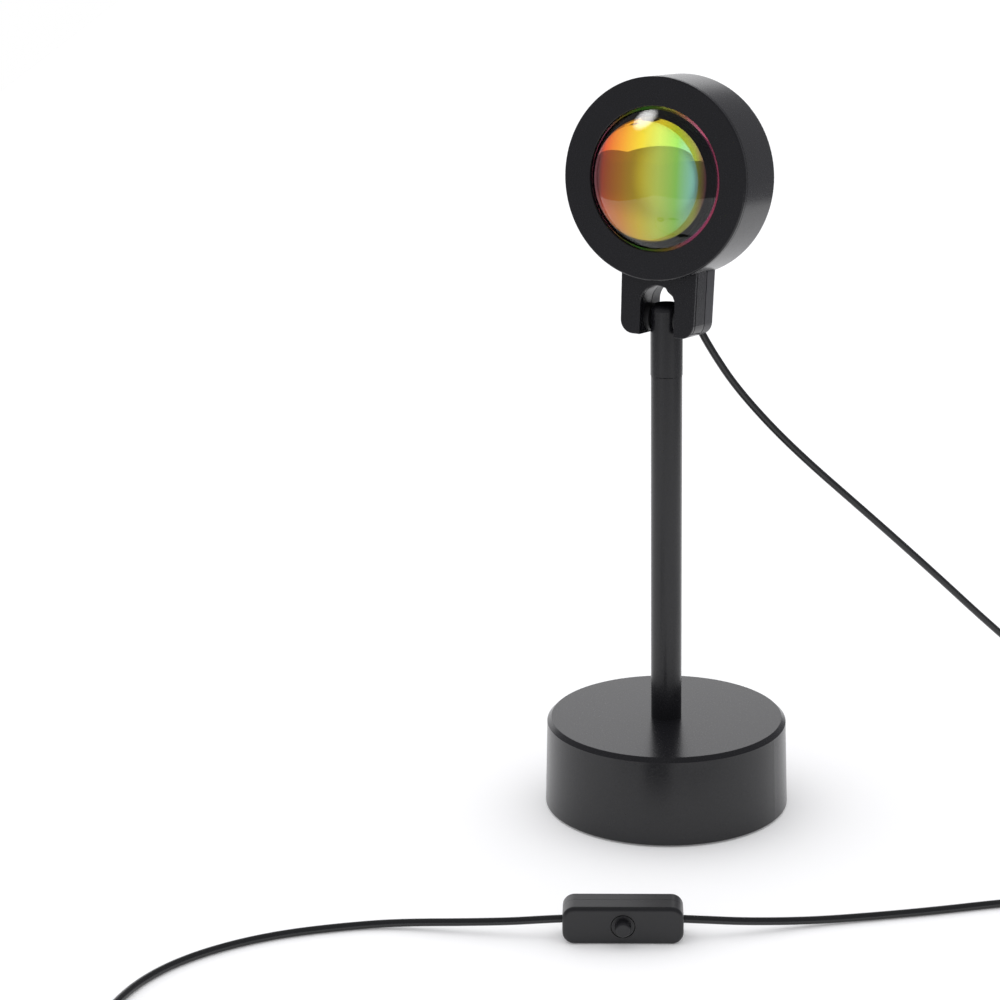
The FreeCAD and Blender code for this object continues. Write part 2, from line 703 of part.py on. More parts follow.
def make_optics():
    """Domed lens, its gasket, the light tube with the rainbow filter and its retaining ring."""
    opening = lens_opening / 2 - running_gap
    sphere = (opening ** 2 + lens_bulge ** 2) / (2 * lens_bulge)
    tip = lens_front - lens_bulge
    half_radius = opening / 2
    half_depth = tip + sphere - math.sqrt(sphere ** 2 - half_radius ** 2)

    def at(radius, depth):
        return V(radius, depth, drum_above_pivot)

    rim = [at(0, tip), at(half_radius, half_depth), at(opening, lens_front)]
    edges = [Part.Arc(*rim).toShape()]
    path = [rim[-1], at(lens_radius, lens_front), at(lens_radius, lens_back), at(0, lens_back), rim[0]]
    edges += [Part.LineSegment(a, b).toShape() for a, b in zip(path, path[1:])]
    lens = Part.Face(Part.Wire(edges)).revolve(at(0, 0), Y_AXIS, 360)
    parts["lens"] = in_head(lens)
    parts["lens_gasket"] = in_head(turned_on_optic([
        (lens_radius - gasket_width, lens_back), (lens_radius, lens_back),
        (lens_radius, gasket_back), (lens_radius - gasket_width, gasket_back)]))

    outside, inside = light_tube_radius, light_tube_radius - light_tube_wall
    mouth = lens_radius - gasket_width
    filter_radius = filter_diameter / 2
    collar_in = filter_radius + running_gap
    parts["light_tube"] = in_head(turned_on_optic([
        (mouth, gasket_back), (skirt_radius, gasket_back), (skirt_radius, flange_back),
        (outside, flange_back), (outside, sink_front), (inside, sink_front), (inside, aperture_back),
        (aperture_diameter / 2, aperture_back), (aperture_diameter / 2, aperture_front),
        (collar_in, aperture_front), (collar_in, filter_ring_front),
        (collar_in + collar_wall, filter_ring_front), (collar_in + collar_wall, aperture_front),
        (inside, aperture_front)]))
    parts["dichroic_filter"] = in_head(turned_on_optic([
        (0, filter_front), (filter_radius, filter_front), (filter_radius, aperture_front),
        (0, aperture_front)]))
    ring_out = collar_in - press_gap
    parts["filter_ring"] = in_head(turned_on_optic([
        (aperture_diameter / 2, filter_ring_front), (ring_out, filter_ring_front),
        (ring_out, filter_front), (aperture_diameter / 2, filter_front)]))


def make_light_engine():
    """LED chip on its board, the heat sink behind it, their screws and the two lead wires."""
    axis = drum_above_pivot
    sink = rod(sink_radius, V(0, sink_front, axis), V(0, sink_back, axis))
    field = rod(fin_field_radius, V(0, sink_back, axis), V(0, fin_end, axis))
    for i in range(fin_count):
        x = (i - (fin_count - 1) / 2) * fin_pitch
        fin = block(x - fin_width / 2, x + fin_width / 2, sink_back, fin_end, 0, 2 * axis)
        sink = sink.fuse(fin.common(field))
    notch = 1.6
    notch_top = axis - sink_radius + 6.5
    sink = sink.cut(block(-notch, notch, sink_front, sink_back, 0, notch_top))
    sink_screws = []
    for x, z in sink_screw_places():
        centre = V(x, 0, z)
        sink = sink.cut(rod(0.95 + slip_gap, centre + Y_AXIS * sink_front, centre + Y_AXIS * sink_back))
        screw = rod(1.9, centre + Y_AXIS * (sink_front - 1.4), centre + Y_AXIS * sink_front)
        sink_screws.append(screw.fuse(rod(0.95, centre + Y_AXIS * sink_front,
                                          centre + Y_AXIS * (cover_front_face - 0.4))))
    board = rod(board_radius, V(0, board_front, axis), V(0, sink_front, axis))
    board_screws = []
    for x in (-board_screw_offset, board_screw_offset):
        centre = V(x, 0, axis)
        board = board.cut(rod(0.8 + slip_gap, centre + Y_AXIS * board_front, centre + Y_AXIS * sink_front))
        sink = sink.cut(rod(0.8 + running_gap, centre + Y_AXIS * sink_front, centre + Y_AXIS * sink_back))
        screw = rod(1.6, centre + Y_AXIS * (board_front - 0.9), centre + Y_AXIS * board_front)
        board_screws.append(screw.fuse(rod(0.8, centre + Y_AXIS * board_front,
                                           centre + Y_AXIS * (sink_back - 0.3))))
    chip = block(-chip_side / 2, chip_side / 2, chip_front, board_front, axis - chip_side / 2,
                 axis + chip_side / 2)
    glow = rod(phosphor_radius, V(0, chip_front - phosphor_thickness, axis), V(0, chip_front, axis))
    parts["heat_sink"] = in_head(sink)
    parts["sink_screws"] = in_head(Part.makeCompound(sink_screws))
    parts["led_board"] = in_head(board)
    parts["board_screws"] = in_head(Part.makeCompound(board_screws))
    parts["led_chip"] = in_head(chip.fuse(glow))

    wires = []
    wire_rest = board_front - wire_radius - 0.02
    for x in (-wire_spacing / 2, wire_spacing / 2):
        start = bush_top
        route = [V(x, cord_hole_behind_pin, start), V(x, cord_hole_behind_pin, start + 1.6),
                 V(x, sink_back + 0.6, start + 4.6), V(x, wire_rest, start + 10.6),
                 V(x, wire_rest, start + 20.3)]
        wires.append(tube("lead wire", route, wire_radius))
    parts["lead_wires"] = in_head(Part.makeCompound(wires))


# ---- cord -------------------------------------------------------------------------------------------
def make_bush():
    """Moulded bush that holds the cord where it leaves the drum through the arch."""
    at = V(0, cord_hole_behind_pin, 0)
    bush = rod(bush_diameter / 2, at + Z_AXIS * bush_bottom, at + Z_AXIS * bush_top)
    flange = rod(bush_flange_diameter / 2, at + Z_AXIS * bush_seat, at + Z_AXIS * bush_top)
    bore = rod(cord_radius + slip_gap, at + Z_AXIS * bush_bottom, at + Z_AXIS * (bush_bottom + cord_in_bush))
    parts["cord_bush"] = in_head(bush.fuse(flange).removeSplitter().cut(bore))


def halfway(a, b):
    """The middle of a run, where one stretch of cord meets the next."""
    return (a + b) * 0.5


def coil_point(turns):
    """The coil's centreline: in along the table, up one layer at the middle, and out again."""
    middle = coil_turns_down
    radius = coil_inner_radius + coil_pitch * abs(turns - middle)
    angle = coil_start_angle + 360 * turns
    climb = min(1.0, max(0.0, (turns - middle + 0.25) * 2))
    height = cord_radius + coil_pitch * (3 * climb ** 2 - 2 * climb ** 3)
    return coil_centre + on_circle(radius, angle) + V(0, 0, height)


def make_cord():
    """The cord's free stretches, its coil and the lead of the plug, at their real lengths."""
    cord_end = bush_bottom + cord_in_bush
    near_head = [head_point(0, cord_hole_behind_pin, cord_end),
                 head_point(0, cord_hole_behind_pin, cord_end - cord_first_run), V(1.6, 4.2, 170.6),
                 V(2.9, 7.6, 166.9), V(5.0, 11.4, 160.2), V(8.6, 14.6, 151.3), V(14.0, 21.0, 138.7)]
    falling = [V(22.5, 31.1, 123.5), V(31.5, 41.8, 109.6), V(41.3, 53.5, 95.6), V(51.8, 66.0, 80.5),
               V(62.5, 78.8, 64.8), V(73.5, 92.0, 48.2), V(85.5, 105.8, 31.4), V(99.5, 119.6, 15.8),
               V(117.0, 131.3, 5.4), V(137.0, 139.2, 1.6)]
    returning = [V(159.0, 139.4, 1.2), V(178.5, 129.0, 1.2), V(191.5, 110.5, 1.2), V(198.0, 87.5, 1.2),
                 V(196.0, 63.0, 1.2), V(188.0, 40.5, 1.2), V(175.6, 19.4, 1.2), V(160.4, 1.2, 1.2),
                 V(143.8, -13.0, 1.2), V(127.5, -26.2, 1.2), V(113.3, -39.7, 1.2), V(98.6, -52.7, 1.3)]
    half = switch_length / 2
    middle = switch_height / 2
    to_switch = [V(83.4, -65.6, 1.6), V(69.2, -79.6, 3.8), switch_point(half + 6.0, 0, middle - 0.3),
                 switch_point(half - switch_cord_sink, 0, middle)]
    lead_end = halfway(near_head[-2], near_head[-1])
    parts["cord_lead"] = tube("cord lead", near_head[:-1] + [lead_end], cord_radius)
    lamp_route = [lead_end, near_head[-1]] + falling + returning + to_switch
    parts["lamp_cord"] = tube("lamp cord", lamp_route, cord_radius)

    coil_start = coil_point(0)
    coil_way = way_at(coil_point, 0)
    coil_mouth = coil_start - coil_way * cord_diameter
    plug_route = [switch_point(switch_cord_sink - half, 0, middle),
                  switch_point(-half - 5.0, 0, middle - 0.3),
                  V(8.4, -114.6, 4.5), V(-5.2, -119.9, 3.3), V(-18.2, -124.5, 2.2), V(-27.6, -128.8, 1.5),
                  V(-35.0, -134.0, 1.2), V(-42.3, -140.6, 1.2), V(-49.0, -147.4, 1.2),
                  V(-55.3, -155.4, 1.2), V(-60.6, -164.2, 1.2), V(-64.9, -174.0, 1.2),
                  V(-67.7, -184.8, 1.2), V(-68.3, -196.2, 1.2), V(-66.8, -207.0, 1.2),
                  V(-64.0, -217.4, 1.2), coil_mouth - coil_way * 5.6, coil_mouth]
    parts["plug_cord"] = tube("plug cord", plug_route, cord_radius)

    turns = coil_turns_down + coil_turns_up
    parts["cord_coil"] = wound("cord coil", coil_point, turns, 4, cord_radius, cord_diameter, cord_diameter)

    coil_end = coil_point(turns)
    out_way = way_at(coil_point, turns)
    tail_start = coil_end + out_way * cord_diameter
    side = V(-out_way.y, out_way.x, 0)
    relief_level = plug_body_height / 2
    tail = [tail_start, tail_start + out_way * 6.0, tail_start + out_way * 17.0 + side * 0.9,
            tail_start + out_way * 28.6 + side * 0.2, tail_start + out_way * 35.0]
    for point in tail[3:]:
        point.z = relief_level
    parts["plug_lead"] = tube("plug lead", tail, cord_radius)
    return tail[-1], (tail[-1] - tail[-2]).normalize()


# ---- inline switch ----------------------------------------------------------------------------------
def switch_outline(inset):
    """Front view of the switch's housing as (x, z) corners."""
    half = switch_length / 2 - inset
    low, high = inset, switch_height - inset
    corner = switch_corner - inset / 2
    return [(-half, low, corner), (half, low, corner), (half, high, corner), (-half, high, corner)]


def make_switch():
    """Two shells, the round collar, the push button, its spring and the switch block."""
    face = -switch_depth / 2
    back = switch_depth / 2
    middle = V(0, 0, switch_height / 2)
    housing = slab(switch_outline(0), face, back)
    housing = rounded(housing, switch_edge, lambda edge: lies_at_y(face)(edge) or lies_at_y(back)(edge))
    housing = housing.cut(slab(switch_outline(switch_wall), face + switch_wall, back - switch_wall))
    half = switch_length / 2
    housing = housing.cut(rod(cord_radius + slip_gap, middle - X_AXIS * half, middle + X_AXIS * half))
    seam = switch_seam_behind_middle
    groove = seam_gap / 2
    front = housing.common(block(-half, half, face, seam - groove, 0, switch_height))
    rear = housing.common(block(-half, half, seam, back, 0, switch_height))
    front = front.cut(rod(collar_radius + collar_gap, middle + Y_AXIS * face,
                          middle + Y_AXIS * (face + switch_wall)))
    parts["switch_front_shell"] = in_switch(front)

    inside = face + switch_wall
    collar = rod(collar_radius, middle + Y_AXIS * face, middle + Y_AXIS * inside)
    collar = collar.fuse(rod(collar_flange_radius, middle + Y_AXIS * inside,
                             middle + Y_AXIS * (inside + collar_flange_height)))
    bore = button_diameter / 2 + running_gap
    collar = collar.cut(rod(bore, middle + Y_AXIS * face, middle))
    parts["switch_collar"] = in_switch(collar)

    stop = inside + collar_flange_height + running_gap
    flange_end = stop + button_flange_height
    tip = face - button_rise

    def at(radius, depth):
        return V(radius, depth, middle.z)

    stem = Part.Face(outline([(0, tip), (button_diameter / 2, tip, button_edge),
                              (button_diameter / 2, stop), (button_flange_radius, stop),
                              (button_flange_radius, flange_end), (0, flange_end)], at))
    parts["switch_button"] = in_switch(stem.revolve(middle, Y_AXIS, 360))

    core_front = core_behind_middle
    half_core = core_side / 2
    core = block(-half_core, half_core, core_front, back - switch_wall - flush, middle.z - half_core,
                 middle.z + half_core)
    parts["switch_core"] = in_switch(core)
    pin_low = half_core + 0.3
    posts = []
    for side in (-1, 1):
        post = rod(1.6, V(side * (pin_low + 3.0), seam, middle.z - 2.9),
                   V(side * (pin_low + 3.0), back - switch_wall / 2, middle.z - 2.9))
        posts.append(post)
    for post in posts:
        rear = rear.fuse(post)
    parts["switch_rear_shell"] = in_switch(rear.removeSplitter())

    spring_end = core_front - spring_wire_radius
    spring_start = flange_end + spring_wire_radius
    pitch = (spring_end - spring_start) / spring_turns

    def spring_point(turns):
        swing = on_circle(spring_radius, 360 * turns)
        return middle + V(swing.x, spring_start + pitch * turns, swing.y)

    spring = wound("switch spring", spring_point, spring_turns, 4, spring_wire_radius, 0, 0)
    parts["switch_spring"] = in_switch(spring)


# ---- flat plug --------------------------------------------------------------------------------------
def make_plug(cord_end, heading):
    """Moulded plug body with a grooved relief, metal shell, tongue and contacts."""
    level = plug_body_height / 2
    relief_end = relief_length
    body_end = relief_end + plug_body_length
    half_width = plug_body_width / 2
    body = block(relief_end, body_end, -half_width, half_width, 0, plug_body_height)
    upright = [edge for edge in body.Edges if abs(edge.BoundBox.ZLength - plug_body_height) < 1e-4]
    body = body.makeFillet(plug_corner, upright)
    body = rounded(body, plug_edge, lambda edge: edge.BoundBox.ZLength < 1e-4)
    relief = Part.makeCone(relief_end_radius, relief_radius, relief_length + 0.5, V(0, 0, level), X_AXIS)
    body = body.fuse(relief)
    for i in range(relief_grooves):
        x = relief_length * (i + 1) / (relief_grooves + 1)
        radius = relief_end_radius + (relief_radius - relief_end_radius) * x / relief_length
        ring = rod(radius + 1, V(x - relief_groove_width / 2, 0, level), V(x + relief_groove_width / 2, 0, level))
        ring = ring.cut(rod(radius - relief_groove_depth, V(x - 1, 0, level), V(x + 1, 0, level)))
        body = body.cut(ring)

    half = plug_shell_width / 2
    low, high = level - plug_shell_height / 2, level + plug_shell_height / 2
    shell_start = body_end - 4.0
    shell_end = body_end + plug_shell_length
    wall = plug_shell_wall
    shell = block(shell_start, shell_end, -half, half, low, high)
    body = body.cut(shell)
    long_edges = [edge for edge in shell.Edges if edge.BoundBox.XLength > plug_shell_length]
    shell = shell.makeFillet(0.5, long_edges)
    shell = shell.cut(block(shell_start, shell_end, wall - half, half - wall, low + wall, high - wall))
    for y in (-plug_window_spacing / 2, plug_window_spacing / 2):
        x = shell_end - plug_window_from_end
        window = block(x - plug_window, x, y - plug_window / 2, y + plug_window / 2, low - 1, high + 1)
        shell = shell.cut(window)
    tongue_end = shell_end - tongue_short
    tongue = block(shell_start, tongue_end, wall + flush - half, half - wall - flush, low + wall,
                   low + wall + tongue_thickness)
    contacts = []
    contact_low = low + wall + tongue_thickness
    for i in range(contact_count):
        y = (i - (contact_count - 1) / 2) * contact_pitch
        contacts.append(block(body_end, tongue_end - 1.0, y - contact_width / 2, y + contact_width / 2,
                              contact_low, contact_low + contact_thickness))
    turn = math.degrees(math.atan2(heading.y, heading.x))
    for name, shape in (("plug_body", body), ("plug_shell", shell), ("plug_tongue", tongue),
                        ("plug_contacts", Part.makeCompound(contacts))):
        shape.rotate(V(0, 0, 0), Z_AXIS, turn)
        shape.translate(V(cord_end.x, cord_end.y, 0))
        parts[name] = shape


# ---- build ------------------------------------------------------------------------------------------
make_base()
make_pole()
make_hinge()
make_drum()
make_optics()
make_light_engine()
make_bush()
plug_start, plug_heading = make_cord()
make_switch()
make_plug(plug_start, plug_heading)

os.makedirs("parts", exist_ok=True)
for node, shape in parts.items():
    if not shape.isValid():
        print("not valid:", node)
    shape.exportStep("parts/" + node + ".step")
print(len(parts), "nodes")
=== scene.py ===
# %% [markdown]
# # A sunset projection lamp, dressed for rendering
#
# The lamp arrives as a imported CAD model: every screw, shell and tube is already a mesh in its place. This
# lesson gives those meshes their finishes, and replaces only what CAD draws plainly or can't bend: the cord,
# the switch's spring, and the glass lens with the rainbow coating behind it.

# %% Load the CAD frame
import math

import bmesh
import bpy
import numpy as np
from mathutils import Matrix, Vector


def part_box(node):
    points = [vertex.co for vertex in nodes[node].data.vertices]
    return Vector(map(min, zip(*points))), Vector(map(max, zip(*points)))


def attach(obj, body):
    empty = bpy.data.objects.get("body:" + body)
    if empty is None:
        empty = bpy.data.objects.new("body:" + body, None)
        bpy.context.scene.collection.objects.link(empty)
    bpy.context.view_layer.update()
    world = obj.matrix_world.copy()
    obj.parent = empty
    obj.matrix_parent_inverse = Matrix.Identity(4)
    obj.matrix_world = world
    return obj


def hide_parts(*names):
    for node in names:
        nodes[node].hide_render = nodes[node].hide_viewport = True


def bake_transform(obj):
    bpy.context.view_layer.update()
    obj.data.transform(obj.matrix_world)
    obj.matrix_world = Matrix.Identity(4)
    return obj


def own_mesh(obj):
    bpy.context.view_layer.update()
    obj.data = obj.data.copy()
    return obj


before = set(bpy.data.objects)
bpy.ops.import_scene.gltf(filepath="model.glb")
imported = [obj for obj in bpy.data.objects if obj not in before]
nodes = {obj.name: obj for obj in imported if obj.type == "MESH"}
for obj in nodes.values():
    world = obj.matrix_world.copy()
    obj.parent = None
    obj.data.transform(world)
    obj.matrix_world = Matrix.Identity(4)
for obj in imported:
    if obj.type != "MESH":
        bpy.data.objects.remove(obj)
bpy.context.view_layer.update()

# %% [markdown]
# ## Small helpers
#
# Colours are picked as sRGB hex values, as on a paint chart, but a renderer adds light in linear values, so
# one function turns one into the other. A material is a tree of nodes, and one function adds any node with
# its settings and its links, so that each finish below reads like a recipe.

# %% Colour and node helpers
def linear(hex_colour):
    """sRGB hex to linear RGBA: c / 12.92 near black, ((c + 0.055) / 1.055) ** 2.4 above it."""
    srgb = [int(hex_colour[i:i + 2], 16) / 255 for i in (1, 3, 5)]
    return [c / 12.92 if c < 0.04045 else ((c + 0.055) / 1.055) ** 2.4 for c in srgb] + [1.0]


def add(tree, kind, settings=None, links=None):
    """Adds a node. settings and links go by socket name or number, or by the node's own property name."""
    new = tree.nodes.new(kind)
    for key, value in (settings or {}).items():
        if isinstance(key, int) or key in new.inputs:
            new.inputs[key].default_value = value
        else:
            setattr(new, key, value)
    for key, (source, output) in (links or {}).items():
        tree.links.new(source.outputs[output], new.inputs[key])
    return new


def ramp_node(tree, source, stops):
    """A colour ramp through (position, hex colour) stops."""
    new = add(tree, "ShaderNodeValToRGB", links={"Fac": source})
    while len(new.color_ramp.elements) < len(stops):
        new.color_ramp.elements.new(0.5)
    for element, (position, colour) in zip(new.color_ramp.elements, stops):
        element.position = position
        element.color = linear(colour)
    return new


def start_material(name):
    """An empty material with its output node."""
    material = bpy.data.materials.new(name)
    material.use_nodes = True
    tree = material.node_tree
    tree.nodes.clear()
    return material, tree, add(tree, "ShaderNodeOutputMaterial")


def dress(piece, material):
    """Gives one material to a whole piece."""
    piece.data.materials.clear()
    piece.data.materials.append(material)


def paint(material, *names):
    """Gives one material to CAD nodes, by name."""
    for name in names:
        dress(nodes[name], material)
    print(material.name, "on", len(names), "CAD nodes")


# %% [markdown]
# ## The camera
#
# The lamp is seen from its front right and from a little above, through a long lens, as a shop photographs a
# product: a long lens keeps the pole straight and the base's ellipse flat. The place, the three angles and
# the focal length were worked out together from the edges of the base, the pole and the drum.

# %% Camera
camera_data = bpy.data.cameras.new("product_camera")
camera_data.sensor_width = 36.0
camera_data.lens = 100.247
camera_data.clip_end = 20.0
camera = bpy.data.objects.new("product_camera", camera_data)
camera.location = (0.39900, -0.76474, 0.35932)
camera.rotation_euler = [math.radians(angle) for angle in (73.5319, 0.9110, 30.8505)]
bpy.context.scene.collection.objects.link(camera)
bpy.context.scene.camera = camera
bpy.context.scene.view_settings.view_transform = "Standard"
print("camera", round(camera.location.length, 3), "m from the base's centre")

# %% [markdown]
# ## The cord's line
#
# The cord is one flexible thing, 2.4 mm thick. It comes out of the arch over the neck, falls to the table in
# a long sagging line, swings round on the table and comes back in front of the base to the switch. Past the
# switch it runs on to a neat coil, where the spare length is put away, and ends in a flat plug.
#
# A NURBS line of order 3 is pulled towards its control points without touching them, which is how a stiff
# little cord looks. Its points were chosen one by one, except that the first three follow the bush's bore.

# %% Routes, in millimetres
cord_diameter = 2.4
cord_radius = cord_diameter / 2
fall = [(0.0, 2.0, 175.874), (0.0, 1.975, 175.575), (0.0, 1.766, 173.084), (1.06, 3.37, 171.45),
        (2.9, 7.6, 166.9), (5.0, 11.4, 160.2),
        (8.6, 14.6, 151.3), (14.0, 21.0, 138.7), (22.5, 31.1, 123.5), (31.5, 41.8, 109.6),
        (41.3, 53.5, 95.6), (51.8, 66.0, 80.5), (62.5, 78.8, 64.8), (73.5, 92.0, 48.2),
        (85.5, 105.8, 31.4), (99.5, 119.6, 15.8), (117.0, 131.3, 5.4), (137.0, 139.2, 1.6)]
swing = [(159.0, 139.4, 1.2), (178.5, 129.0, 1.2), (191.5, 110.5, 1.2), (198.0, 87.5, 1.2),
         (196.0, 63.0, 1.2), (188.0, 40.5, 1.2), (175.6, 19.4, 1.2), (160.4, 1.2, 1.2),
         (143.8, -13.0, 1.2), (127.5, -26.2, 1.2), (113.3, -39.7, 1.2), (98.6, -52.7, 1.3),
         (83.4, -65.6, 1.6), (69.2, -79.6, 3.8)]
switch_centre = np.array([37.6, -99.6, 5.85])
switch_heading = math.radians(28.5)
switch_way = np.array([math.cos(switch_heading), math.sin(switch_heading), 0.0])
switch_in = [switch_centre + switch_way * 23.9 - (0, 0, 0.3), switch_centre + switch_way * 16.4]
switch_out = [switch_centre - switch_way * 16.4, switch_centre - switch_way * 22.9 - (0, 0, 0.3)]
away = [(8.4, -114.6, 4.5), (-5.2, -119.9, 3.3), (-18.2, -124.5, 2.2), (-27.6, -128.8, 1.5),
        (-35.0, -134.0, 1.2), (-42.3, -140.6, 1.2), (-49.0, -147.4, 1.2), (-55.3, -155.4, 1.2),
        (-60.6, -164.2, 1.2), (-64.9, -174.0, 1.2), (-67.7, -184.8, 1.2), (-68.3, -196.2, 1.2),
        (-66.8, -207.0, 1.2), (-64.0, -217.4, 1.2)]

# %% [markdown]
# ## The coil
#
# Spare cord is wound flat: four turns inwards on the table, one step up, and four turns and a quarter
# outwards on top. A formula gives any point of it from the number of turns, so the coil can be made as fine
# as it has to be.

# %% The coil's formula
coil_centre = np.array([-38.0, -232.0, 0.0])
coil_pitch = cord_diameter + 0.5
coil_inner_radius = 8.0
coil_turns_down, coil_turns_up = 4.0, 4.25
coil_start_angle = 200.5
climb_turns = 0.5
points_per_turn = 16


def coil_line(turns):
    """Radius grows by one pitch a turn away from the middle turn; the climb is a smooth step there."""
    radius = coil_inner_radius + coil_pitch * np.abs(turns - coil_turns_down)
    angle = np.radians(coil_start_angle + 360 * turns)
    climb = np.clip((turns - coil_turns_down + climb_turns / 2) / climb_turns, 0, 1)
    height = cord_radius + coil_pitch * (3 * climb ** 2 - 2 * climb ** 3)
    return coil_centre + np.stack([radius * np.cos(angle), radius * np.sin(angle), height], axis=1)


coil_turns = coil_turns_down + coil_turns_up
coil = coil_line(np.linspace(0, coil_turns, round(coil_turns * points_per_turn) + 1))
# A line of order 3 comes nearest to a control point at (before + 6 x point + after) / 8. On a circle that is
# (6 + 2 cos step) / 8 of the points' radius, so the points stand out by as much.
pull = (6 + 2 * math.cos(2 * math.pi / points_per_turn)) / 8
coil[:, :2] = coil_centre[:2] + (coil[:, :2] - coil_centre[:2]) / pull

# %% [markdown]
# ## From the coil to the plug
#
# The cord runs into the coil and out of it in line with its turns. Two points a hair apart at each end of
# the coil give those directions. The tail then rises a little, because the plug's body holds its end above
# the table.

# %% The coil's ends and the tail
hair = 1e-4
run_up = 8.0
plug_height = 3.9
coil_ends = coil_line(np.array([0.0, hair, coil_turns - hair, coil_turns]))
way_in = (coil_ends[1] - coil_ends[0]) / np.linalg.norm(coil_ends[1] - coil_ends[0])
way_out = (coil_ends[3] - coil_ends[2]) / np.linalg.norm(coil_ends[3] - coil_ends[2])
side = np.array([-way_out[1], way_out[0], 0.0])
tail_start = coil_ends[3] + way_out * cord_diameter
tail = [tail_start + way_out * 6.0, tail_start + way_out * 17.0 + side * 0.9,
        tail_start + way_out * 28.6 + side * 0.2, tail_start + way_out * 35.0]
for point in tail[2:]:
    point[2] = plug_height
head_route = np.array([*fall, *swing, *switch_in]) / 1000
plug_route = np.array([*switch_out, *away, coil_ends[0] - way_in * run_up, *coil[1:-1],
                       coil_ends[3], *tail]) / 1000
print("cord points:", len(head_route), len(plug_route))

# %% [markdown]
# ## A tube along a route
#
# Blender's curve objects give a line its thickness with a round bevel. The curve is turned into a mesh, so
# that what is measured, bent and exported is the same as what is seen. The same line without thickness
# gives the path that the cord follows.

# %% A cord from a route
def spline_mesh(name, route, radius):
    """The mesh of a NURBS line of order 3 through the route's control points: a tube, or a bare line."""
    curve = bpy.data.curves.new(name, "CURVE")
    curve.dimensions = "3D"
    curve.resolution_u = 10
    curve.bevel_depth = radius
    curve.bevel_resolution = 5
    curve.use_fill_caps = radius > 0
    spline = curve.splines.new("NURBS")
    spline.points.add(len(route) - 1)
    spline.points.foreach_set("co", np.c_[route, np.ones(len(route))].ravel())
    spline.order_u = 3
    spline.use_endpoint_u = True
    line = bpy.data.objects.new(name, curve)
    bpy.context.scene.collection.objects.link(line)
    bpy.context.view_layer.update()
    mesh = bpy.data.meshes.new_from_object(line.evaluated_get(bpy.context.evaluated_depsgraph_get()))
    bpy.data.objects.remove(line)
    return mesh


def cord_tube(name, route):
    """A tube as thick as the cord, and the line it follows as points."""
    line = spline_mesh(name + "_line", route, 0)
    path = np.empty(len(line.vertices) * 3)
    line.vertices.foreach_get("co", path)
    path = path.reshape(-1, 3)
    cord = bpy.data.objects.new(name, spline_mesh(name, route, cord_radius / 1000))
    bpy.context.scene.collection.objects.link(cord)
    cord.data.polygons.foreach_set("use_smooth", [True] * len(cord.data.polygons))
    steps = np.linalg.norm(np.diff(path, axis=0), axis=1)
    print(name, "runs", round(float(steps.sum()), 4), "m")
    return cord, path


# %% [markdown]
# ## Two stretches of cord
#
# The first runs from the head to the switch. When the head tilts, the bush at the arch goes with it and the
# rest of the cord stays. The second runs from the switch over the coil to the plug, and stays where it lies.

# %% Head cord
head_cord, head_path = cord_tube("head_cord", head_route)
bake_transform(head_cord)
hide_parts("cord_lead", "lamp_cord")

# %% Plug cord
plug_cord, plug_path = cord_tube("plug_end_cord", plug_route)
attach(plug_cord, "base")
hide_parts("plug_cord", "cord_coil", "plug_lead")

# %% [markdown]
# ## The return spring
#
# The button rests on a small steel spring inside the switch. When the button goes in, the spring gets
# shorter. A copy of the CAD spring takes its place, and how far each of its points lies along the button's
# axis is worked out. Points that lie in the same place are welded first, so that the copy is one connected
# surface.

# %% Return spring
weld_distance = 1e-7
spring = bpy.data.objects.new("return_spring", nodes["switch_spring"].data.copy())
bpy.context.scene.collection.objects.link(spring)
welded = bmesh.new()
welded.from_mesh(spring.data)
bmesh.ops.remove_doubles(welded, verts=welded.verts, dist=weld_distance)
welded.to_mesh(spring.data)
welded.free()
press_way = np.array([-math.sin(switch_heading), math.cos(switch_heading), 0.0])
spring_points = np.empty(len(spring.data.vertices) * 3)
spring.data.vertices.foreach_get("co", spring_points)
spring_points = spring_points.reshape(-1, 3)
along = spring_points @ press_way
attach(spring, "base")
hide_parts("switch_spring")
tuple(spring_points[along.argmax()])
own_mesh(spring)

# %% [markdown]
# ## The lens
#
# The lens is a plano-convex dome of clear glass: a slice of a sphere in front, flat behind, with a flange
# that the bezel clamps. Facets would show in every reflection, so the dome is worked out again as a fine
# surface of revolution. The profile's points are even in angle along the sphere's arc.

# %% Sizes of the head, in millimetres
tilt = math.radians(4.8)
pivot_height = 164.0
optic_height = 44.7
lens_opening_radius = 22.45
lens_flange_radius = 24.4
lens_front, lens_back = -11.4, -8.8
lens_bulge = 9.2
lens_segments = 256
dome_points = 64


def in_head(points):
    """Head frame in mm to lamp frame in metres: tilt about X through the pin, then lift to the pin."""
    x, y, z = points[..., 0], points[..., 1], points[..., 2]
    turned = np.stack([x, y * math.cos(tilt) + z * math.sin(tilt),
                       z * math.cos(tilt) - y * math.sin(tilt) + pivot_height], axis=-1)
    return turned / 1000


# %% [markdown]
# ## Turning a profile
#
# A lathe turns a profile of radius and depth about the optic axis: each point but the first and the last
# becomes a ring, and those two are single points on the axis. Four-sided faces join ring to ring, and a fan
# of triangles closes each end.

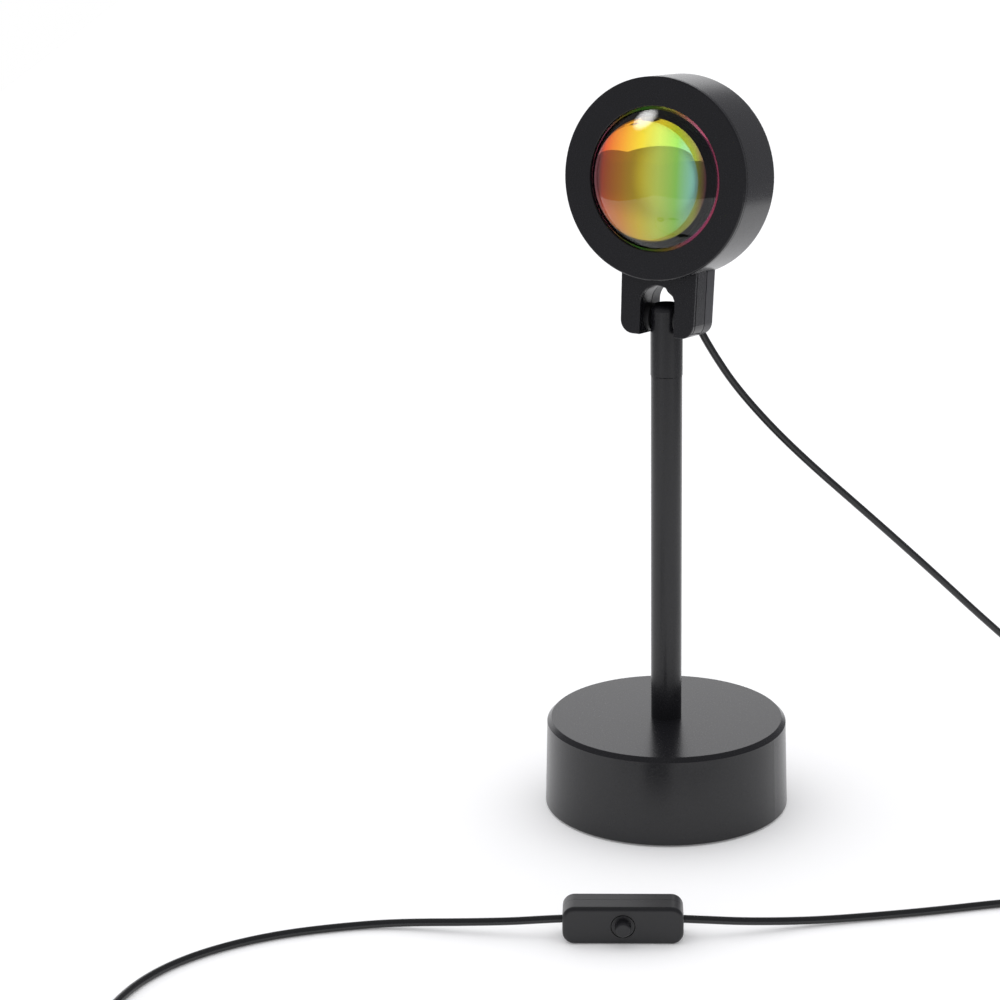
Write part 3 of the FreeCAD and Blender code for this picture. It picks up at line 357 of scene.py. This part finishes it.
# %% A surface of revolution
def revolved(name, profile, curved):
    """Turns the profile about the optic axis: (r cos a, depth, height + r sin a) for each angle a.
    Only the first `curved` steps of the profile are shaded smooth, so that the plane faces stay plane."""
    radius, depth = profile[:, 0], profile[:, 1]
    angle = np.linspace(0, 2 * math.pi, lens_segments, endpoint=False)
    rings = np.stack([np.outer(radius[1:-1], np.cos(angle)),
                      np.repeat(depth[1:-1, None], lens_segments, axis=1),
                      optic_height + np.outer(radius[1:-1], np.sin(angle))], axis=-1).reshape(-1, 3)
    ends = np.array([[0, depth[0], optic_height], [0, depth[-1], optic_height]])
    points = in_head(np.concatenate([rings, ends]))
    ring_count = len(profile) - 2
    i, j = np.meshgrid(np.arange(ring_count - 1), np.arange(lens_segments), indexing="ij")
    following = (j + 1) % lens_segments
    quads = np.stack([i * lens_segments + j, (i + 1) * lens_segments + j,
                      (i + 1) * lens_segments + following, i * lens_segments + following],
                     axis=-1).reshape(-1, 4)
    here = np.arange(lens_segments)
    beside = (here + 1) % lens_segments
    front_end = np.full(lens_segments, ring_count * lens_segments)
    front = np.stack([front_end, here, beside], axis=-1)
    last_ring = (ring_count - 1) * lens_segments
    back = np.stack([front_end + 1, last_ring + beside, last_ring + here], axis=-1)
    mesh = bpy.data.meshes.new(name)
    mesh.from_pydata(points.tolist(), [], quads.tolist() + front.tolist() + back.tolist())
    smooth = np.zeros(len(mesh.polygons), dtype=bool)
    smooth[:(curved - 1) * lens_segments] = True
    smooth[len(quads):len(quads) + lens_segments] = True
    mesh.polygons.foreach_set("use_smooth", smooth)
    piece = bpy.data.objects.new(name, mesh)
    bpy.context.scene.collection.objects.link(piece)
    print(name, "has", len(mesh.polygons), "faces")
    return piece


# %% Dome with its flange
sphere_radius = (lens_opening_radius ** 2 + lens_bulge ** 2) / (2 * lens_bulge)
edge_angle = math.asin(lens_opening_radius / sphere_radius)
arc = np.linspace(0, edge_angle, dome_points)
tip = lens_front - lens_bulge
dome = np.stack([sphere_radius * np.sin(arc), tip + sphere_radius * (1 - np.cos(arc))], axis=1)
corner = 0.02
middle_of_flat = 8.0
flange = np.array([[lens_opening_radius + corner, lens_front], [lens_flange_radius - corner, lens_front],
                   [lens_flange_radius, lens_front + corner], [lens_flange_radius, lens_back - corner],
                   [lens_flange_radius - corner, lens_back], [middle_of_flat, lens_back],
                   [0.0, lens_back]])
lens_dome = revolved("lens_dome", np.concatenate([dome, flange]), curved=len(dome) - 1)
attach(lens_dome, "head")
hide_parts("lens")
print("dome radius of curvature:", round(sphere_radius, 2), "mm")

# %% [markdown]
# ## The coated face
#
# The flat face behind carries a coating, and the rest of the lens is bare glass. Each face of a mesh can
# point at one of its materials by number: 0 is the glass and 1 is the coating. The flat face is the last row
# of four-sided faces and the fan at the very end of the list.

# %% The flat face carries the coating
material_of_face = np.zeros(len(lens_dome.data.polygons), dtype=np.int32)
material_of_face[-3 * lens_segments:-2 * lens_segments] = 1
material_of_face[-lens_segments:] = 1
lens_dome.data.polygons.foreach_set("material_index", material_of_face)
print("coated faces:", int(material_of_face.sum()))

# %% [markdown]
# ## Black skins
#
# The lamp's coats and plastics are all nearly black, and differ in their grain. One noise drives both gloss
# and relief: where it is high, the skin is rougher and stands out a little. Noise seldom leaves the range
# from 0.3 to 0.7, so that range is stretched over the whole span of roughness. An index of 1.5 is that of
# most lacquers and plastics.

# %% A black skin over a grain
skin_index = 1.5
relief_depth = 0.00004


def black_skin(tree, out, grain, shade, smoothest, roughest, relief):
    """A skin in the shade given, whose gloss and relief follow the grain."""
    rough = add(tree, "ShaderNodeMapRange", {"From Min": 0.3, "From Max": 0.7, "To Min": smoothest,
                                             "To Max": roughest}, {"Value": (grain, "Fac")})
    bump = add(tree, "ShaderNodeBump", {"Strength": relief, "Distance": relief_depth},
               {"Height": (grain, "Fac")})
    skin = add(tree, "ShaderNodeBsdfPrincipled", {"IOR": skin_index},
               {"Base Color": (shade, "Color"), "Roughness": (rough, "Result"), "Normal": (bump, "Normal")})
    tree.links.new(skin.outputs["BSDF"], out.inputs["Surface"])
    return skin


# %% [markdown]
# ## Black powder coat
#
# Base, pole, bracket and drum are aluminium with a fine powder coat, melted on in an oven. It is nearly black
# and between matte and satin, with a very fine grain that spreads each reflection. A face that mirrors the
# white table or the backdrop turns grey, most of all where it is seen at a slant, and a face that mirrors
# the dim parts of the studio stays black. A wide, faint cloud keeps the large faces from looking flat.

# %% Powder coat
cloud_mm = 20


def powder_coat(name, low, high, grain_mm, smoothest, roughest, relief, pieces):
    """Coats CAD nodes between two shades of black. Returns what a special case needs to go on."""
    powder, tree, out = start_material(name)
    place = add(tree, "ShaderNodeTexCoord")
    grain = add(tree, "ShaderNodeTexNoise", {"Scale": 1000 / grain_mm, "Detail": 2.0, "Roughness": 0.6},
                {"Vector": (place, "Object")})
    cloud = add(tree, "ShaderNodeTexNoise", {"Scale": 1000 / cloud_mm, "Detail": 2.0},
                {"Vector": (place, "Object")})
    shade = ramp_node(tree, (cloud, "Fac"), [(0.0, low), (1.0, high)])
    skin = black_skin(tree, out, grain, shade, smoothest, roughest, relief)
    paint(powder, *pieces)
    return tree, place, skin


powder_coat("powder_coated_aluminium", "#101013", "#16161a", 0.5, 0.22, 0.28, 0.08,
            ("base_shell", "pole_tube", "bracket_front", "bracket_cover", "drum_shell", "front_bezel",
             "rear_cover"))

# %% [markdown]
# ## The bracket's rear half
#
# The rear half of the bracket looks paler and grainier than the front half. Why it does isn't known, so it is
# matched: a paler black, a larger grain, more relief and less gloss.

# %% Coarse powder coat
powder_coat("coarse_powder_coat", "#27272b", "#323237", 0.8, 0.36, 0.46, 0.35, ("bracket_rear",))

# %% [markdown]
# ## The neck's dull end
#
# Under the arch the neck's end face looks black, though it could mirror the backdrop. It is matched too, with
# painted shade: the specular level, which is how strongly a skin mirrors, falls to nothing just below that
# face, so the face mirrors nothing and stays black as if in shade. The export has no place for such a link
# and leaves it out, so an exported neck has the same gloss all over.

# %% Powder coat with painted shade on the neck's end
tree, place, skin = powder_coat("powder_coat_with_painted_shade", "#101013", "#16161a", 0.5, 0.22, 0.28, 0.08,
                                ("neck",))
usual_specular = 0.5
neck_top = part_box("neck")[1][2]
height = add(tree, "ShaderNodeSeparateXYZ", links={"Vector": (place, "Object")})
# Painted shade: from just below the neck's end face the specular level falls to nothing, so that face stays
# black.
painted_shade = add(tree, "ShaderNodeMapRange", {"From Min": neck_top - 0.0002, "From Max": neck_top - 0.0001,
                                        "To Min": usual_specular, "To Max": 0.0}, {"Value": (height, "Z")})
tree.links.new(painted_shade.outputs["Result"], skin.inputs["Specular IOR Level"])
print("neck ends at", round(neck_top * 1000, 2), "mm")

# %% [markdown]
# ## Moulded black plastics and rubber
#
# The switch and the plug are ABS and PVC, moulded in tools with a spark-eroded texture: a grain about as
# fine as the powder coat's, but duller. The plain inner plastics, the nylon washers and the rubber are
# duller still. The cord's jacket is extruded PVC, which comes out of its die smooth and shines a little.

# %% Plastics and rubber
def black_plastic(name, low, high, grain_mm, smoothest, roughest, pieces=()):
    """A moulded or extruded black, with its shade, gloss and relief from one grain."""
    plastic, tree, out = start_material(name)
    place = add(tree, "ShaderNodeTexCoord")
    grain = add(tree, "ShaderNodeTexNoise", {"Scale": 1000 / grain_mm, "Detail": 2.0},
                {"Vector": (place, "Object")})
    shade = ramp_node(tree, (grain, "Fac"), [(0.0, low), (1.0, high)])
    black_skin(tree, out, grain, shade, smoothest, roughest, relief=0.3)
    paint(plastic, *pieces)
    return plastic


black_plastic("spark_eroded_abs", "#131316", "#1a1a1d", 0.45, 0.31, 0.39,
              ("switch_front_shell", "switch_rear_shell", "switch_collar", "switch_button"))
black_plastic("soft_pvc_overmould", "#18181a", "#1f1f22", 0.55, 0.45, 0.55, ("plug_body",))
black_plastic("plain_black_abs", "#141415", "#1a1a1b", 0.8, 0.5, 0.6,
              ("base_plate", "light_tube", "filter_ring", "switch_core"))
black_plastic("black_rubber", "#121213", "#181819", 0.9, 0.7, 0.8, ("foot_pad", "lens_gasket", "cord_bush"))
black_plastic("dark_nylon", "#101012", "#151517", 0.6, 0.45, 0.55, ("friction_washers",))

# %% Cord jacket
jacket = black_plastic("extruded_pvc_jacket", "#151617", "#1c1d1f", 0.7, 0.2, 0.26)
for cord in (head_cord, plug_cord):
    dress(cord, jacket)

# %% [markdown]
# ## Glass
#
# The dome is crown glass, index 1.5. Light reaches what lies behind it through the glass, and a path tracer
# finds that light only by luck, so for shadow rays the glass counts as clear.

# %% Lens glass
glass, tree, out = start_material("polished_crown_glass")
body = add(tree, "ShaderNodeBsdfPrincipled", {"Base Color": linear("#fbfdfc"), "Roughness": 0.0, "IOR": 1.5,
                                              "Transmission Weight": 1.0})
clear = add(tree, "ShaderNodeBsdfTransparent")
path = add(tree, "ShaderNodeLightPath")
mix = add(tree, "ShaderNodeMixShader", links={0: (path, "Is Shadow Ray"), 1: (body, "BSDF"),
                                              2: (clear, "BSDF")})
tree.links.new(mix.outputs["Shader"], out.inputs["Surface"])
lens_dome.data.materials.append(glass)

# %% [markdown]
# ## Interference coating
#
# The flat face is coated with layers thinner than a wave of light, and mirrors in colours: from dark red at
# one side over orange and yellow to green and violet at the other, with paler tints along the rim. On a real
# coating the colour goes by the slant at which light meets the layers. Here it is painted by place, by X
# across the face and by the distance from the centre at the rim, so it stays where it is when the eye moves.
# The face is a mirror, so it shows the white table upside down through the dome.

# %% Colours across the coated face
half_width = 0.0225
coating, tree, out = start_material("interference_coating")
place = add(tree, "ShaderNodeTexCoord")
split = add(tree, "ShaderNodeSeparateXYZ", links={"Vector": (place, "Object")})
across = add(tree, "ShaderNodeMapRange", {"From Min": -half_width, "From Max": half_width},
             {"Value": (split, "X")})
rainbow = ramp_node(tree, (across, "Result"), [
    (0.0, "#4c1a26"), (0.09, "#8a2c2e"), (0.13, "#ea5a2c"), (0.27, "#f8a634"), (0.40, "#f6dc3c"),
    (0.52, "#dff46c"), (0.64, "#aaf06c"), (0.767, "#a8f4e4"), (0.85, "#7a6ac8"), (1.0, "#4a2c6a")])

# %% Paler tints along the rim
rim_starts, rim_is_full = 0.0185, 0.0205
centre = in_head(np.array([0.0, lens_back, optic_height]))
out_from = add(tree, "ShaderNodeVectorMath", {"operation": "DISTANCE", 1: centre.tolist()},
               {0: (place, "Object")})
near_rim = add(tree, "ShaderNodeMapRange", {"interpolation_type": "SMOOTHSTEP", "From Min": rim_starts,
                                            "From Max": rim_is_full}, {"Value": (out_from, "Value")})
rim = ramp_node(tree, (across, "Result"), [(0.05, "#d88894"), (0.2, "#e0905c"), (0.36, "#8cb870"),
                                           (0.6, "#86b484"), (0.75, "#b898dc"), (0.95, "#f0a8c8")])
both = add(tree, "ShaderNodeMix", {"data_type": "RGBA"}, {0: (near_rim, "Result"), 6: (rainbow, "Color"),
                                                          7: (rim, "Color")})
mirror = add(tree, "ShaderNodeBsdfPrincipled", {"Metallic": 1.0, "Roughness": 0.03},
             {"Base Color": (both, 2)})
tree.links.new(mirror.outputs["BSDF"], out.inputs["Surface"])
lens_dome.data.materials.append(coating)
print("lens materials:", [material.name for material in lens_dome.data.materials])

# %% [markdown]
# ## Metals, board and small parts
#
# The inner pieces are seldom seen, but each gets its real finish, because the lamp may be shown opened. One
# recipe does for all of them: an even colour, with a fine grain in its gloss and relief.

# %% Metals and small parts
for name, colour, metallic, roughness, grain_mm, pieces in (
        ("zinc_plated_steel", "#c2c4c6", 1.0, 0.3, 0.4,
         ("base_plate_screws", "pole_bolt", "bolt_washer", "joining_stud", "hinge_pin", "clamp_screws",
          "bracket_screws", "board_screws", "sink_screws", "switch_spring")),
        ("raw_cast_iron", "#3c3b3a", 1.0, 0.6, 1.2, ("base_weight",)),
        ("turned_aluminium", "#d6d8da", 1.0, 0.35, 0.5, ("lower_tube_plug", "upper_tube_plug", "heat_sink")),
        ("nickel_plated_sheet", "#d0cec8", 1.0, 0.18, 0.6, ("plug_shell",)),
        ("gilded_contact", "#d8a850", 1.0, 0.25, 0.4, ("plug_contacts",)),
        ("white_solder_mask", "#e6e6e2", 0.0, 0.35, 0.5, ("led_board",)),
        ("yellow_phosphor", "#f0d860", 0.0, 0.5, 0.3, ("led_chip",)),
        ("white_nylon_tongue", "#e8e8e4", 0.0, 0.4, 0.6, ("plug_tongue",)),
        ("red_wire_insulation", "#7a1c1a", 0.0, 0.4, 0.4, ("lead_wires",)),
        ("coated_filter_glass", "#d07038", 0.3, 0.1, 3.0, ("dichroic_filter",))):
    small, tree, out = start_material(name)
    place = add(tree, "ShaderNodeTexCoord")
    grain = add(tree, "ShaderNodeTexNoise", {"Scale": 1000 / grain_mm, "Detail": 3.0},
                {"Vector": (place, "Object")})
    rough = add(tree, "ShaderNodeMapRange", {"To Min": roughness * 0.8, "To Max": roughness * 1.2},
                {"Value": (grain, "Fac")})
    bump = add(tree, "ShaderNodeBump", {"Strength": 0.15, "Distance": 0.00003}, {"Height": (grain, "Fac")})
    skin = add(tree, "ShaderNodeBsdfPrincipled", {"Base Color": linear(colour), "Metallic": metallic},
               {"Roughness": (rough, "Result"), "Normal": (bump, "Normal")})
    tree.links.new(skin.outputs["BSDF"], out.inputs["Surface"])
    paint(small, *pieces)
dress(spring, bpy.data.materials["zinc_plated_steel"])

# %% [markdown]
# ## The table
#
# Black things take their shape from what they mirror, so the studio is built for its reflections. The lamp
# stands on a white table that ends 0.63 m in front of it, and the dome mirrors that table upside down, as a
# bright band above. The paper takes the lamp's shadow. A faint glow of its own, which the eye, mirrors and
# glass see but nothing is lit by, lifts it nearly to the white behind it.

# %% Table
# Its edges run almost along the camera's axis and across it. Places are metres from the lamp.
ahead = np.array([-0.5, 0.866])
right = np.array([0.866, 0.5])
table_left, table_right = -0.54, 0.5
table_near, table_far = -0.63, 2.5
table_glow = 0.12
corners = [right * sideways + ahead * forwards
           for sideways, forwards in ((table_left, table_near), (table_right, table_near),
                                      (table_right, table_far), (table_left, table_far))]
table_mesh = bpy.data.meshes.new("table")
table_mesh.from_pydata([(*corner, 0.0) for corner in corners], [], [(0, 1, 2, 3)])
table = bpy.data.objects.new("table", table_mesh)
bpy.context.scene.collection.objects.link(table)

# %% [markdown]
# ## Small sums in a tree
#
# The table's paper and the studio's light differ from ray to ray. A Light Path node tells what kind of ray
# asks: 1 for yes and 0 for no. Sums of such answers switch a light on or off for each kind.

# %% Sums and mixes
def result_of(tree, operation, first, second):
    """A math node's result. Each value is a number or a (node, output) pair."""
    settings = {"operation": operation}
    links = {}
    for socket, value in enumerate((first, second)):
        (links if isinstance(value, tuple) else settings)[socket] = value
    return add(tree, "ShaderNodeMath", settings, links), 0


def colour_between(tree, share, first, second):
    """From the first colour to the second by a share. Each colour is RGBA or a (node, output) pair."""
    settings = {"data_type": "RGBA"}
    links = {0: share}
    for socket, colour in ((6, first), (7, second)):
        (links if len(colour) == 2 else settings)[socket] = colour
    return add(tree, "ShaderNodeMix", settings, links), 2


# %% Table paper
white, tree, out = start_material("white_table")
paper = add(tree, "ShaderNodeBsdfDiffuse", {"Color": linear("#f2f2f4")})
glow = add(tree, "ShaderNodeEmission", {"Color": (1, 1, 1, 1), "Strength": table_glow})
both = add(tree, "ShaderNodeAddShader", links={0: (paper, "BSDF"), 1: (glow, "Emission")})
path = add(tree, "ShaderNodeLightPath")
seen = result_of(tree, "MAXIMUM", (path, "Is Camera Ray"), (path, "Is Glossy Ray"))
seen = result_of(tree, "MAXIMUM", seen, (path, "Is Transmission Ray"))
shown = add(tree, "ShaderNodeMixShader", links={0: seen, 1: (paper, "BSDF"), 2: (both, "Shader")})
tree.links.new(shown.outputs["Shader"], out.inputs["Surface"])
table.data.materials.append(white)
print("table:", round(table_right - table_left, 2), "by", round(table_far - table_near, 2), "m")

# %% [markdown]
# ## The studio's light
#
# The light comes from the world, so a world shader works out a level from the ray's direction. The eye sees
# plain white. Mirrors and glass see something else: dim surroundings with a white backdrop hung behind the
# lamp, because the real black faces are dark where a white studio would whiten them. This is made up to
# look right, and a mirror shows no picture of the white that the eye sees behind the lamp.

# %% World and its ray
def ramp_between(tree, source, zero_at, one_at):
    """A smooth step of a value, from 0 to 1."""
    return add(tree, "ShaderNodeMapRange", {"interpolation_type": "SMOOTHSTEP", "From Min": zero_at,
                                            "From Max": one_at}, {"Value": source}), "Result"


def towards(tree, ray, direction, zero_at, one_at):
    """A smooth step of the cosine between the ray and a fixed direction."""
    cosine = add(tree, "ShaderNodeVectorMath", {"operation": "DOT_PRODUCT", 1: direction},
                 {0: (ray, "Generated")})
    return ramp_between(tree, (cosine, "Value"), zero_at, one_at)


world = bpy.data.worlds.new("studio")
bpy.context.scene.world = world
world.use_nodes = True
tree = world.node_tree
tree.nodes.clear()
out = add(tree, "ShaderNodeOutputWorld")
ray = add(tree, "ShaderNodeTexCoord")
height = add(tree, "ShaderNodeSeparateXYZ", links={"Vector": (ray, "Generated")})
path = add(tree, "ShaderNodeLightPath")

# %% [markdown]
# ## What mirrors and glass see
#
# The surroundings are dark grey and darker overhead. Rays that have gone through the dome see them brighter
# above, and with a soft panel on the left in front, so that the coated face mirrors a little more light. Both
# kinds of ray see the backdrop, which is a little over white and ends above the lamp.

# %% Surroundings
low_grey = (0.33, 0.33, 0.35, 1)
overhead_grey = (0.25, 0.25, 0.265, 1)
upper_grey_through_glass = (0.56, 0.54, 0.54, 1)
panel_grey = (0.55, 0.55, 0.6, 1)
surroundings = colour_between(tree, ramp_between(tree, (height, "Z"), 0.1, 0.7), low_grey, overhead_grey)
upper = result_of(tree, "MULTIPLY", ramp_between(tree, (height, "Z"), 0.1, 0.45),
                  (path, "Is Transmission Ray"))
surroundings = colour_between(tree, upper, surroundings, upper_grey_through_glass)
soft_panel = result_of(tree, "MULTIPLY", towards(tree, ray, (-0.62, -0.78, -0.05), 0.9, 0.97),
                       (path, "Is Transmission Ray"))
surroundings = colour_between(tree, soft_panel, surroundings, panel_grey)

# %% Backdrop
backdrop_white = (1.2, 1.2, 1.22, 1)
backdrop = result_of(tree, "MULTIPLY", towards(tree, ray, (-0.65, 0.76, 0.0), 0.78, 0.9),
                     ramp_between(tree, (height, "Z"), 0.75, 0.45))
mirrored_colour = colour_between(tree, backdrop, surroundings, backdrop_white)

# %% [markdown]
# ## What lights dull faces
#
# Everything that isn't mirrored is lit by plain light from all round, stronger from above and behind on the
# left, at levels at which a face that looks up shows about the colour that was written for it.

# %% Plain light
weakest_light, strongest_light = 0.72, 1.36
lit_side = towards(tree, ray, (-0.5, 0.55, 0.67), -0.1, 0.9)
level = add(tree, "ShaderNodeMapRange", {"To Min": weakest_light, "To Max": strongest_light},
            {"Value": lit_side})

# %% [markdown]
# ## The spot on the dome
#
# The dome shows one small bright spot, the picture of a light above it. Only polished glass should show it,
# so the spot is there for perfectly sharp mirror rays alone. A ray that comes back out through the glass
# doesn't count, or the coated face would show the spot once more, in yellow.

# %% Spot
spot_strength = 14.0
spot_place = towards(tree, ray, (-0.591, -0.215, 0.777), 0.972, 1.0)
not_through_glass = result_of(tree, "SUBTRACT", 1.0, (path, "Is Transmission Ray"))
spot_level = result_of(tree, "MULTIPLY", spot_place, (path, "Is Singular Ray"))
spot_level = result_of(tree, "MULTIPLY", spot_level, not_through_glass)
spot_level = result_of(tree, "MULTIPLY", spot_level, spot_strength)

# %% One light for each kind of ray
plain = add(tree, "ShaderNodeBackground", {"Color": (1, 1, 1, 1)}, {"Strength": (level, "Result")})
mirrored = add(tree, "ShaderNodeBackground", {"Strength": 1.0}, {"Color": mirrored_colour})
spot = add(tree, "ShaderNodeBackground", {"Color": (1, 1, 1, 1)}, {"Strength": spot_level})
white_page = add(tree, "ShaderNodeBackground", {"Color": (1, 1, 1, 1), "Strength": 1.0})
mirror_or_glass = result_of(tree, "MAXIMUM", (path, "Is Glossy Ray"), (path, "Is Transmission Ray"))
lit = add(tree, "ShaderNodeMixShader", links={0: mirror_or_glass, 1: (plain, "Background"),
                                              2: (mirrored, "Background")})
with_spot = add(tree, "ShaderNodeAddShader", links={0: (lit, "Shader"), 1: (spot, "Background")})
final = add(tree, "ShaderNodeMixShader", links={0: (path, "Is Camera Ray"), 1: (with_spot, "Shader"),
                                                2: (white_page, "Background")})
tree.links.new(final.outputs["Shader"], out.inputs["Surface"])
print("world nodes:", len(tree.nodes))

# %% [markdown]
# ## Finish
#

# %% Finish
bpy.context.view_layer.update()
